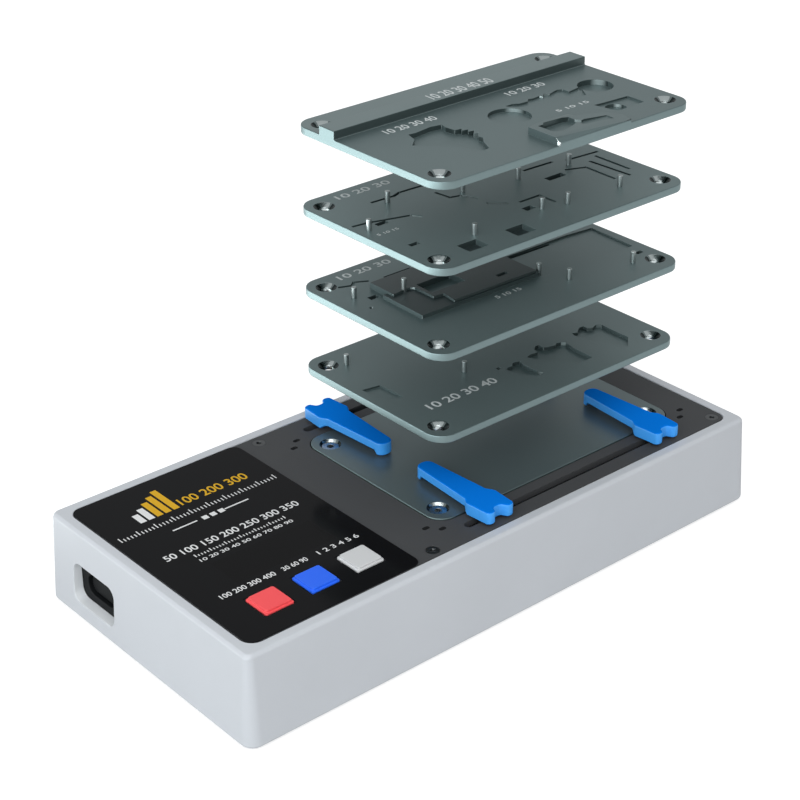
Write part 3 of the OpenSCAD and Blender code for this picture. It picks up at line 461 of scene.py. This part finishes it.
def weigh_edges(piece, node, corner, inner):
    """Gives the sharp edges their share of the bevel: inner is the share of the pockets' edges."""
    low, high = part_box(node)
    start_with_no_edge()
    bpy.ops.mesh.edges_select_sharp(sharpness=EDGE_ANGLE)
    bpy.ops.object.mode_set(mode="OBJECT")
    weights = piece.data.attributes.new("bevel_weight_edge", "FLOAT", "EDGE")
    for edge in piece.data.edges:
        start, end = (piece.data.vertices[k].co for k in edge.vertices)
        fall = abs(start.z - end.z)
        slopes = 2 * LEVEL < fall < STEEP * (end - start).length
        outer = on_outline(start, low, high, corner) and on_outline(end, low, high, corner)
        middle = (start + end) / 2 - (low + high) / 2
        lip = corner == CORNER and at_hole(middle) and middle.z > 0 and fall < LEVEL
        if edge.select and not slopes:
            weights.data[edge.index].value = 1.0 if outer else LIP_SHARE if lip else inner


print("sharp means more than", round(math.degrees(EDGE_ANGLE)), "degrees")

# %% [markdown]
# ## One corner that is rounder
# The low block at the front of the top module has a corner that shines: it is rounded far more
# than its other edges, and later its faces that look to the left front take a painted highlight.
# The bevel operator does the rounding first, on the one upright edge, which is found by its place.

# %% Round one upright edge
BLOCK_EDGE = Vector((26.6, -32.0, 136.1)) * MM
BLOCK_ROUNDING = 1.2 * MM
UPRIGHT = 0.9


def round_upright(piece, place, radius):
    """Rounds the upright edge whose middle is nearest to a place."""
    start_with_no_edge()
    bpy.ops.object.mode_set(mode="OBJECT")
    points = piece.data.vertices

    def distance(edge):
        start, end = (points[k].co for k in edge.vertices)
        is_upright = abs(start.z - end.z) > UPRIGHT * (start - end).length
        return ((start + end) / 2 - place).length if is_upright else math.inf

    nearest = min(piece.data.edges, key=distance)
    nearest.select = True
    for k in nearest.vertices:
        points[k].select = True
    bpy.ops.object.mode_set(mode="EDIT")
    bpy.ops.mesh.bevel(offset=radius, segments=4, affect="EDGES")
    bpy.ops.object.mode_set(mode="OBJECT")


print("the block's corner is rounded by", round(BLOCK_ROUNDING / MM, 1), "mm")

# %% [markdown]
# ## From the solid to the softened piece
# This is the whole recipe for one piece: copy, merge, weigh, bevel, smooth, and ride on the part's
# body. Clamping the bevel would shrink it everywhere to what the shortest edge allows, so it isn't
# clamped, and the weights keep it small where edges lie close together.

# %% Make a softened copy of a part
BODIES = frame["record"]["behaviour"]["bodies"]
BODY_OF = {node: body for body, members in BODIES.items() for node in members}
MERGE_WITHIN = 0.001 * MM
FLAT_ANGLE = math.radians(0.6)
SMOOTH_ANGLE = math.radians(50)


def softened(node, radius, material, segments=2, angle=EDGE_ANGLE, corner=0.0, inner=None):
    """A copy of a part with its edges rounded by radius millimetres, on the part's own body."""
    piece = copied(node, material)
    bpy.ops.object.mode_set(mode="EDIT")
    bpy.ops.mesh.select_all(action="SELECT")
    bpy.ops.mesh.remove_doubles(threshold=MERGE_WITHIN)
    bpy.ops.mesh.dissolve_limited(angle_limit=FLAT_ANGLE)
    bpy.ops.object.mode_set(mode="OBJECT")
    if node == "module_4":
        round_upright(piece, BLOCK_EDGE, BLOCK_ROUNDING)
    if inner is not None:
        weigh_edges(piece, node, corner, inner)
    finish_by_modifier(piece, "BEVEL", width=radius * MM, segments=segments, angle_limit=angle,
                       limit_method="ANGLE" if inner is None else "WEIGHT",
                       use_clamp_overlap=False, miter_outer="MITER_ARC")
    bpy.ops.object.shade_smooth_by_angle(angle=SMOOTH_ANGLE)
    finish_by_modifier(piece, "WEIGHTED_NORMAL", keep_sharp=True)
    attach(piece, BODY_OF[node])
    return piece


# %% [markdown]
# ## The case, its deck and its controls
# The case has a rounding of a third of a millimetre, because its mould is radiused. The walls of
# the inlet's recess are picked by a box around them and get a lighter tone, which is painted
# light. The deck is sheet metal, so only its outline is softened. Its small oval holes end in the
# sheet, and their walls and floors get a darker tone than its face, which is painted shade. The
# caps have a stepped edge that gets a soft radius.

# %% Dress the case
RECESS_LOW = Vector((-100.4, 15.1, 6.5)) * MM
RECESS_HIGH = Vector((-96.9, 36.5, 19.5)) * MM
SIDEWAYS = 0.6
BROAD_ANGLE = math.radians(60)


def in_recess(place):
    return all(a < b < c for a, b, c in zip(RECESS_LOW, place, RECESS_HIGH))


case = softened("housing", 0.35, case_plastic, segments=3)
case.data.materials.append(recess_painted_light)
# The walls of the recess take the lighter recess finish, which is painted light.
for face in case.data.polygons:
    is_wall = in_recess(face.center) and abs(face.normal.x) < SIDEWAYS
    face.material_index = 1 if is_wall else 0
print("walls of the recess:", sum(face.material_index for face in case.data.polygons), "faces")
softened("bottom_cover", 0.2, case_plastic, angle=BROAD_ANGLE)
softened("rubber_feet", 0.4, rubber_black, segments=3)

# %% Dress the deck
DECK_CORNER = 3.9 * MM
DECK_SKIN = 0.3 * MM
THROUGH_MIDDLE = 1.2 * MM
FLOOR_ABOVE = 0.9
WALL_BELOW = 0.5

deck = softened("top_deck", 0.12, deck_coat, corner=DECK_CORNER, inner=0.0)
deck.data.materials.append(hole_painted_shade)
deck_low, deck_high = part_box("top_deck")
# The walls and floors of the small holes take the darker tone, which is painted shade.
for face in deck.data.polygons:
    is_sunk = face.center.z < deck_high.z - DECK_SKIN
    is_floor = face.normal.z > FLOOR_ABOVE
    is_wall = abs(face.normal.z) < WALL_BELOW and face.center.z > deck_low.z + THROUGH_MIDDLE
    face.material_index = 1 if is_sunk and (is_floor or is_wall) else 0
print("small holes of the deck:", sum(face.material_index for face in deck.data.polygons), "faces")

# %% Dress the controls and the inlet
softened("control_overlay", 0.1, film_black)
softened("temperature_button", 0.22, cap_red, segments=3)
softened("time_button", 0.22, cap_blue, segments=3)
softened("confirm_button", 0.22, cap_white, segments=3)
softened("inlet_socket", 0.2, socket_black)
print("dressed the film, three caps and the inlet")

# %% [markdown]
# ## The hot plate and the modules
# Each plate is one milled piece with several finishes. Painting them by hand would have to be done
# again whenever the solid changes, so every face is sorted by its place and by where it looks:
# first the corner of the block, then the outer rim, the countersinks, the faces that look up, and
# last the upright walls. Some raised or sunk parts take a lighter or darker tone, a painted
# reflection of another part of the room that they mirror.

# %% Sort the faces of a countersink
# Past the face and the rim, the kinds are painted light: a wall's painted glint and shade, a
# painted reflection, and a countersink's painted highlight, half light and shade.
FACE, RIM, WALL, PAINTED_REFLECTION, PAINTED_HIGHLIGHT, PAINTED_HALF_LIGHT, PAINTED_SHADE = range(7)
PAINTED_SHINE_WAY = Vector((0.65, 0.76))
PAINTED_HIGHLIGHT_FROM = 0.85
PAINTED_HALF_LIGHT_FROM = 0.6
FLAT_FROM = 0.9


def kind_of_sink(normal):
    """A cone takes a painted highlight in two opposite sectors, and painted shade between them."""
    if abs(normal.z) > FLAT_FROM:
        return FACE
    along = abs(Vector((normal.x, normal.y)).normalized().dot(PAINTED_SHINE_WAY))
    if along > PAINTED_HIGHLIGHT_FROM:
        return PAINTED_HIGHLIGHT
    return PAINTED_HALF_LIGHT if along > PAINTED_HALF_LIGHT_FROM else PAINTED_SHADE


print("countersinks shine within", round(math.degrees(math.acos(PAINTED_HIGHLIGHT_FROM))), "degrees")

# %% Sort the other faces of a plate
LAND_FROM = 84.7 * MM
POCKET_BELOW = 109.9 * MM
BACK_FROM = 12.0 * MM
RIM_PLAY = 0.2 * MM
RIM_OUTWARD = 0.25
BROAD_FROM = 0.95
UP_FROM = 0.6
BLOCK_CORNER = Vector((27.2, -31.6, 136.1)) * MM
BLOCK_REACH = 1.3 * MM
BLOCK_TOP_FROM = 0.8
LEFT_FRONT = -0.3


def takes_painted_reflection(node, place):
    """Whether a face is on module 2's land, module 3's pockets or the back of module 4, which take
    a painted reflection.
    """
    return {"module_2": place.z > LAND_FROM, "module_3": place.z < POCKET_BELOW,
            "module_4": place.y > BACK_FROM}.get(node, False)


def is_block_corner(face, node):
    """Whether a face belongs to the rounded corner of the block and looks to the left front: such
    faces take a painted highlight.
    """
    near = node == "module_4" and (face.center - BLOCK_CORNER).length < BLOCK_REACH
    is_side = abs(face.normal.z) < BLOCK_TOP_FROM
    return near and is_side and max(face.normal.x, face.normal.y) < LEFT_FRONT


def is_rim(face, away, half):
    """Whether a face is out at the plate's edge, from its place off the middle, and looks out."""
    outward = Vector((away.x, away.y, 0)).normalized().dot(face.normal) > RIM_OUTWARD
    at_side = max(abs(away.x) - half.x, abs(away.y) - half.y) > -RIM_PLAY
    at_corner = min(abs(away.x) - half.x, abs(away.y) - half.y) > -CORNER
    return abs(face.normal.z) < BROAD_FROM and outward and (at_side or at_corner)


def kind_of_face(face, low, high, node):
    """Which finish a face of a plate takes, from where it lies and where it looks."""
    away = face.center - (low + high) / 2
    # The block's corner faces that look to the left front take a painted highlight.
    if is_block_corner(face, node):
        return PAINTED_HIGHLIGHT
    if is_rim(face, away, (high - low) / 2):
        return RIM
    # The faces of a countersink take painted highlight, painted half light and painted shade by
    # where they look.
    if at_hole(away):
        return kind_of_sink(face.normal)
    # Faces that look up on module 2's land, module 3's pockets and module 4's back take a painted
    # reflection.
    if face.normal.z > UP_FROM:
        return PAINTED_REFLECTION if takes_painted_reflection(node, face.center) else FACE
    # Upright walls that look to the left front take a painted glint, and those that look to the
    # front painted shade.
    glints = face.normal.dot(PAINTED_GLINT_WAY) > PAINTED_GLINT_FROM
    return WALL if glints or face.normal.y < LEFT_FRONT else FACE


print("rim faces are within", round(RIM_PLAY / MM, 1), "mm of the sides, or at a corner")

# %% Dress the plates
FACE_FINISH = {1: module_dark, 2: module_dark, 3: module_face, 4: module_dark}


def dress_plate(piece, node):
    """Gives a plate all its finishes, and says how many faces have each."""
    low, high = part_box(node)
    # Module 4's back takes a lighter painted reflection, the other plates a darker one.
    painted_reflection_finish = ridge_painted_reflection if node == "module_4" else painted_dark_reflection
    for material in (module_rim, pocket_painted_glint_and_shade, painted_reflection_finish, sink_painted_highlight, sink_painted_half_light, sink_painted_shade):
        piece.data.materials.append(material)
    count = [0] * len(piece.data.materials)
    for face in piece.data.polygons:
        face.material_index = kind_of_face(face, low, high, node)
        count[face.material_index] += 1
    return count


plate = softened("hot_plate", 0.25, plate_face, corner=CORNER, inner=0.3)
print("hot_plate faces of each finish", dress_plate(plate, "hot_plate"))
for number in (1, 2, 3, 4):
    node = "module_%d" % number
    module = softened(node, 0.28, FACE_FINISH[number], corner=CORNER, inner=0.25)
    print(node, "faces of each finish", dress_plate(module, node))
for number in (1, 2, 3):
    softened("module_%d_pins" % number, 0.15, pin_steel)

# %% [markdown]
# ## The clamps and the screws
# A clamp is a blue moulding on a steel post. Its edges are well rounded, as the mould's are. Under
# the deck a spring holds the post down. Its lower end moves with the post's foot and its upper end
# stays at the carriage, so it shortens when the clamp is lifted.

# %% Dress the clamps and the screws
SIDE_BELOW = 0.7

for number in (1, 2, 3, 4):
    jaw = softened("clamp_jaw_%d" % number, 0.5, clamp_blue, segments=3, angle=BROAD_ANGLE)
    # The upright sides of a clamp take the lighter blue, which is painted light.
    jaw.data.materials.append(clamp_side)
    for face in jaw.data.polygons:
        face.material_index = 1 if abs(face.normal.z) < SIDE_BELOW else 0
    softened("clamp_post_%d" % number, 0.12, pin_steel)
    node = "clamp_spring_%d" % number
    low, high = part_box(node)
    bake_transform(copied(node, spring_steel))
softened("plate_screws", 0.1, screw_steel)
softened("deck_screws", 0.1, screw_grey)
for node in ("bottom_screws", "bracket_screws"):
    softened(node, 0.1, screw_black)
print("dressed the clamps and the screws")

# %% [markdown]
# ## Printed and engraved marks
# The film carries scales in white and yellow, and each module a few engraved numbers. All marks
# are plain: bars, ticks and round numbers. They could be drawn in the shader, but as thin solids
# they stay sharp from near. All marks of one colour on one face are joined to one piece.

# %% Bars and ticks
MARK_THICK = 0.03
FILM_TOP = 30.6


def bar(x, y, length, width, z):
    """A flat bar whose lower left corner is at x, y: all in millimetres."""
    middle = Vector((x + length / 2, y + width / 2, z)) * MM
    size = (length * MM, width * MM, MARK_THICK * MM)
    bpy.ops.mesh.primitive_cube_add(size=1, location=middle, scale=size)
    return bpy.context.active_object


TICK_WIDTH = 0.35
LONG_EACH = 5
SHORT_SHARE = 0.6


def ticks(x0, x1, y, height, count, z):
    """A row of ticks from x0 to x1, every fifth of them full height."""
    step = (x1 - x0) / (count - 1)
    heights = [height * (SHORT_SHARE if k % LONG_EACH else 1.0) for k in range(count)]
    return [bar(x0 + k * step - TICK_WIDTH / 2, y, TICK_WIDTH, tall, z)
            for k, tall in enumerate(heights)]


print("marks are", MARK_THICK, "mm thick")

# %% Numbers
STROKE_GROWS = 0.012


def numbers(text, x0, x1, y, height, z):
    """Numbers that fill the line from x0 to x1, on the baseline y."""
    bpy.ops.object.text_add(location=(0, 0, 0))
    piece = bpy.context.active_object
    piece.data.body = text
    piece.data.extrude = 0.5
    piece.data.offset = STROKE_GROWS
    bpy.ops.object.convert(target="MESH")
    piece = bpy.context.active_object
    xs = [v.co.x for v in piece.data.vertices]
    ys = [v.co.y for v in piece.data.vertices]
    scale = ((x1 - x0) / (max(xs) - min(xs)), height / (max(ys) - min(ys)), MARK_THICK)
    piece.scale = [c * MM for c in scale]
    piece.location = Vector((x0 - min(xs) * scale[0], y - min(ys) * scale[1], z)) * MM
    return piece


print("strokes grow by", STROKE_GROWS, "of the type size")

# %% Join marks and give them ink
def marked(name, pieces, material, node):
    """Joins the marks to one piece on the body of a node."""
    bpy.ops.object.select_all(action="DESELECT")
    for piece in pieces:
        piece.select_set(True)
    bpy.context.view_layer.objects.active = pieces[0]
    if len(pieces) > 1:
        bpy.ops.object.join()
    whole = bpy.context.active_object
    whole.name = name
    bpy.ops.object.transform_apply(location=True, rotation=True, scale=True)
    whole.data.materials.clear()
    whole.data.materials.append(material)
    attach(whole, BODY_OF[node])
    return len(whole.data.polygons)


def print_ink(name, tone):
    """Matt ink, a little thinner in places."""
    finish = Finish(name, Specular_IOR_Level=0.2)
    thinner = tuple(0.94 * c for c in tone)
    finish.colour(finish.blend(finish.noise(0.6), thinner, tone))
    finish.rough(0.5)
    return finish.material


white_ink = print_ink("white_ink", (0.8, 0.8, 0.8))
yellow_ink = print_ink("yellow_ink", (0.75, 0.42, 0.01))
engraved = print_ink("engraved", (0.6, 0.64, 0.64))
print("made three inks")

# %% Print the film
steps = [bar(-82.4 + 2.9 * k, 25.0, 2.1, 5.0 + 2.0 * k, FILM_TOP) for k in range(5)]
white = steps[:2]
yellow = steps[2:]
yellow.append(numbers("100 200 300", -67.5, -43.0, 25.4, 3.9, FILM_TOP))
white += ticks(-92.2, -37.0, 19.8, 2.5, 46, FILM_TOP)
white.append(bar(-77.8, 15.3, 8.6, 0.55, FILM_TOP))
white.append(bar(-59.3, 15.3, 8.6, 0.55, FILM_TOP))
white += [bar(-67.3 + 2.9 * k, 14.6, 1.9, 1.9, FILM_TOP) for k in range(3)]
white.append(numbers("50 100 150 200 250 300 350", -88.3, -41.0, 3.0, 2.9, FILM_TOP))
white += ticks(-80.6, -49.0, -0.3, 1.5, 31, FILM_TOP)
white.append(numbers("10 20 30 40 50 60 70 80 90", -81.0, -48.2, -3.3, 1.5, FILM_TOP))
white.append(numbers("100 200 300 400", -87.6, -68.9, -22.3, 2.1, FILM_TOP))
white.append(numbers("30 60 90", -66.3, -57.6, -22.3, 2.0, FILM_TOP))
white.append(numbers("1 2 3 4 5 6", -53.6, -39.0, -22.2, 2.0, FILM_TOP))
for name, pieces, ink in (("film_marks_white", white, white_ink),
                          ("film_marks_yellow", yellow, yellow_ink)):
    print(name, marked(name, pieces, ink, "control_overlay"), "faces")

# %% [markdown]
# ## Engraved numbers
# The numbers on the modules lie beside the pockets. Cutting them into the plates would need a
# boolean for every digit and leave slivers, so they are laid on as thinly as the printed marks.
# Each line of numbers is written as its text, its two ends and its baseline from the plate's
# middle, its height, and the level of the face below it.

# %% Engrave the modules
MARKS_OF = {
    "module_1": [("10 20 30 40", -39.5, -12.6, -16.8, 3.5, 58.2)],
    "module_2": [("10 20 30", -38.0, -17.8, 26.1, 3.0, 84.4),
                 ("5 10 15", -11.5, -1.5, -14.4, 1.8, 84.4)],
    "module_3": [("5 10 15", -46.5, -38.8, -2.0, 1.3, 110.4),
                 ("10 20 30", -38.0, -17.8, 26.1, 3.0, 110.4)],
    "module_4": [("10 20 30 40 50", -11.4, 13.0, 14.3, 4.2, 138.2),
                 ("10 20 30 40", -35.4, -16.4, 6.6, 3.2, 135.6),
                 ("10 20 30", 12.6, 27.8, 7.4, 3.0, 135.6),
                 ("5 10 15", 13.4, 26.3, -12.2, 1.7, 135.6)],
}
for node, lines in MARKS_OF.items():
    low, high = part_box(node)
    middle = (low.x + high.x) / 2 / MM
    pieces = [numbers(text, middle + x0, middle + x1, *rest) for text, x0, x1, *rest in lines]
    print(node, marked(node + "_marks", pieces, engraved, node), "faces")

# %% [markdown]
# ## Finishes of the parts that keep their solids
# The parts inside the case are seen only when it is opened. Rounding their edges would make the
# file heavier and change nothing in the picture, so they keep their exact solids, and a table
# gives each of them the finish of its kind.

# %% Dress the inner parts
INNER_FINISHES = {
    "display_module": body_black, "tactile_switches": body_black, "control_board": board_green,
    "board_spacers": ceramic, "power_board": board_tan, "power_transformer": tape_yellow,
    "power_capacitor": body_black, "power_relay": relay_blue, "inlet_contacts": contact_brass,
    "inlet_leads": wire_red, "heater_leads": wire_white, "sensor_lead": wire_white,
    "ceramic_standoffs": ceramic, "plate_bracket": sheet_steel, "heating_element": mica,
    "pressure_plate": sheet_steel, "heater_screws": screw_black, "insulation_sheet": mica,
    "temperature_sensor": pin_steel, "thermal_cutout": ceramic, "clamp_rails": sheet_steel,
    "rail_screws": screw_black,
}
for number in (1, 2, 3, 4):
    INNER_FINISHES["clamp_carriage_%d" % number] = sheet_steel
for node, material in INNER_FINISHES.items():
    frame["nodes"][node].data.materials.clear()
    frame["nodes"][node].data.materials.append(material)
print("dressed", len(INNER_FINISHES), "inner parts")

# %% [markdown]
# ## The floor and the light
# The object stands on a plain white floor under a soft even sky, as in a product photograph. The
# floor's own colour is lit like everything else, so it keeps the object's shadow, and what the
# camera or a mirror sees of it gets a little white light added on top.

# %% Make the floor and the sky
SKY_LEVEL = 0.62
SKY_TONE = (0.97, 0.99, 1.0, 1)
FLOOR_GLOW = 0.68
FLOOR_SIZE = 8.0

bpy.ops.object.select_all(action="DESELECT")
bpy.ops.mesh.primitive_plane_add(size=FLOOR_SIZE)
floor = bpy.context.active_object
floor.name = "floor"
floor_finish = Finish("floor_white", Roughness=0.9, Specular_IOR_Level=0.1)
patches = floor_finish.noise(60.0)
floor_finish.colour(floor_finish.blend(patches, (0.6, 0.6, 0.6), (0.62, 0.62, 0.62)))
seen = floor_finish.add("LightPath", {}, {}, "Is Camera Ray")
mirrored = floor_finish.add("LightPath", {}, {}, "Is Glossy Ray")
through = floor_finish.add("LightPath", {}, {}, "Is Transmission Ray")
glow = floor_finish.blend(seen + mirrored + through, (0, 0, 0), (1, 1, 1))
floor_finish.feed(floor_finish.shader.inputs["Emission Color"], glow)
floor_finish.shader.inputs["Emission Strength"].default_value = FLOOR_GLOW
floor.data.materials.append(floor_finish.material)

sky = bpy.data.worlds.new("sky")
sky.use_nodes = True
sky.node_tree.nodes["Background"].inputs["Color"].default_value = SKY_TONE
sky.node_tree.nodes["Background"].inputs["Strength"].default_value = SKY_LEVEL
bpy.context.scene.world = sky
bpy.context.scene.view_settings.view_transform = "Standard"
print("a sky of", SKY_LEVEL, "over a floor that glows by", FLOOR_GLOW)

# %% [markdown]
# ## The lamps
# Two soft lamps at the left light the object: a low one at its end and a large high one in front.
# Metal shows what it mirrors more than how it is lit. So a long low strip and two cards near the
# floor stand where the left rims and the faces of the modules mirror them. They are seen only in
# reflections: they light nothing, and the camera doesn't see them. The cards face straight up.

# %% Place the lamps
COOL_WHITE = (0.94, 1.0, 1.0)


def soft_lamp(name, level, tone, size, place):
    """A lamp of size metres at a place, turned to the object: its face is as bright as level."""
    data = bpy.data.lights.new(name, "AREA")
    data.shape = "RECTANGLE"
    data.color = tone
    data.size, data.size_y = size
    data.energy = level * math.pi * size[0] * size[1]
    lamp = bpy.data.objects.new(name, data)
    lamp.location = place
    lamp.rotation_euler = (-Vector(place)).to_track_quat("-Z", "Y").to_euler()
    bpy.context.scene.collection.objects.link(lamp)
    return lamp


soft_lamp("key_lamp", 2.4, (0.9, 0.97, 1.0), (0.4, 0.35), (-0.52, -0.2, 0.27))
soft_lamp("front_lamp", 2.1, (1.0, 1.0, 1.0), (1.0, 0.6), (-0.5, -0.62, 0.85))
mirrored_lamps = [
    soft_lamp("strip_lamp", 10.0, COOL_WHITE, (1.7, 0.18), (-1.0, 0.1, 0.09)),
    soft_lamp("far_card", 4.0, COOL_WHITE, (0.36, 0.34), (-0.37, 0.21, 0.004)),
    soft_lamp("near_card", 4.0, COOL_WHITE, (0.18, 0.16), (-0.13, 0.17, 0.004)),
]
for lamp in mirrored_lamps:
    lamp.visible_diffuse = False
    lamp.visible_camera = False
for card in mirrored_lamps[1:]:
    card.rotation_euler = (math.pi, 0, 0)
print("two lamps, and", len(mirrored_lamps), "that are only mirrored")
